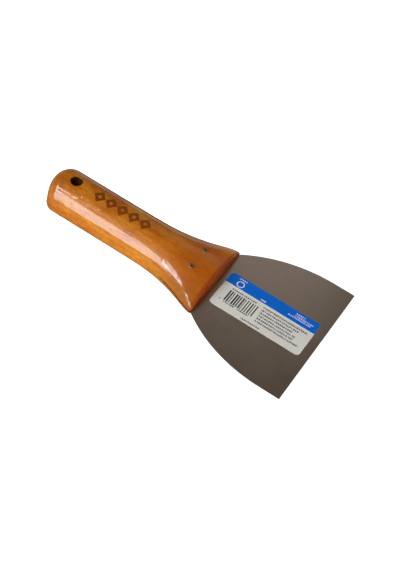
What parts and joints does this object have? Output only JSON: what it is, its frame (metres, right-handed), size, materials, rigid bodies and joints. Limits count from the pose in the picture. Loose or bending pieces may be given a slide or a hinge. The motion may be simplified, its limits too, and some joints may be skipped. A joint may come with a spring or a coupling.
{
  "type": "flexible putty knife",
  "caption": "Putty knife with a wide flexible spring-steel blade riveted into the sawn slot of a flared, varnished wooden handle that has a hanging hole.",
  "frame": {"origin": "on the axis of the hanging hole, at the mid-plane of the blade", "axes": "+X along the knife from the hanging hole to the scraping edge, +Z out of the labelled face of the blade, along the hanging hole, +Y completes a right-handed frame across the blade"},
  "size_m": [0.194, 0.1, 0.027],
  "materials": {
    "wood": "glossy clear varnish over orange-stained beech",
    "blade_steel": "satin, brownish grey, finely ground and lightly oiled",
    "rivet_steel": "dull plated",
    "label": "semi-gloss printed sticker, light grey with a blue band"
  },
  "bodies": {
    "grip": {"handle": "wood", "blade_root": "blade_steel", "rivet_left": "rivet_steel", "rivet_right": "rivet_steel", "label_rear": "label"},
    "blade": {"blade_front": "blade_steel", "label_front": "label"}
  },
  "joints": [
    {"name": "blade_flex", "type": "hinge", "parent": "grip", "child": "blade", "pos_m": [0.128, 0, 0], "axis": [0, -1, 0], "range_deg": [-30, 30], "stiffness_Nm_per_rad": 3.3}
  ]
}
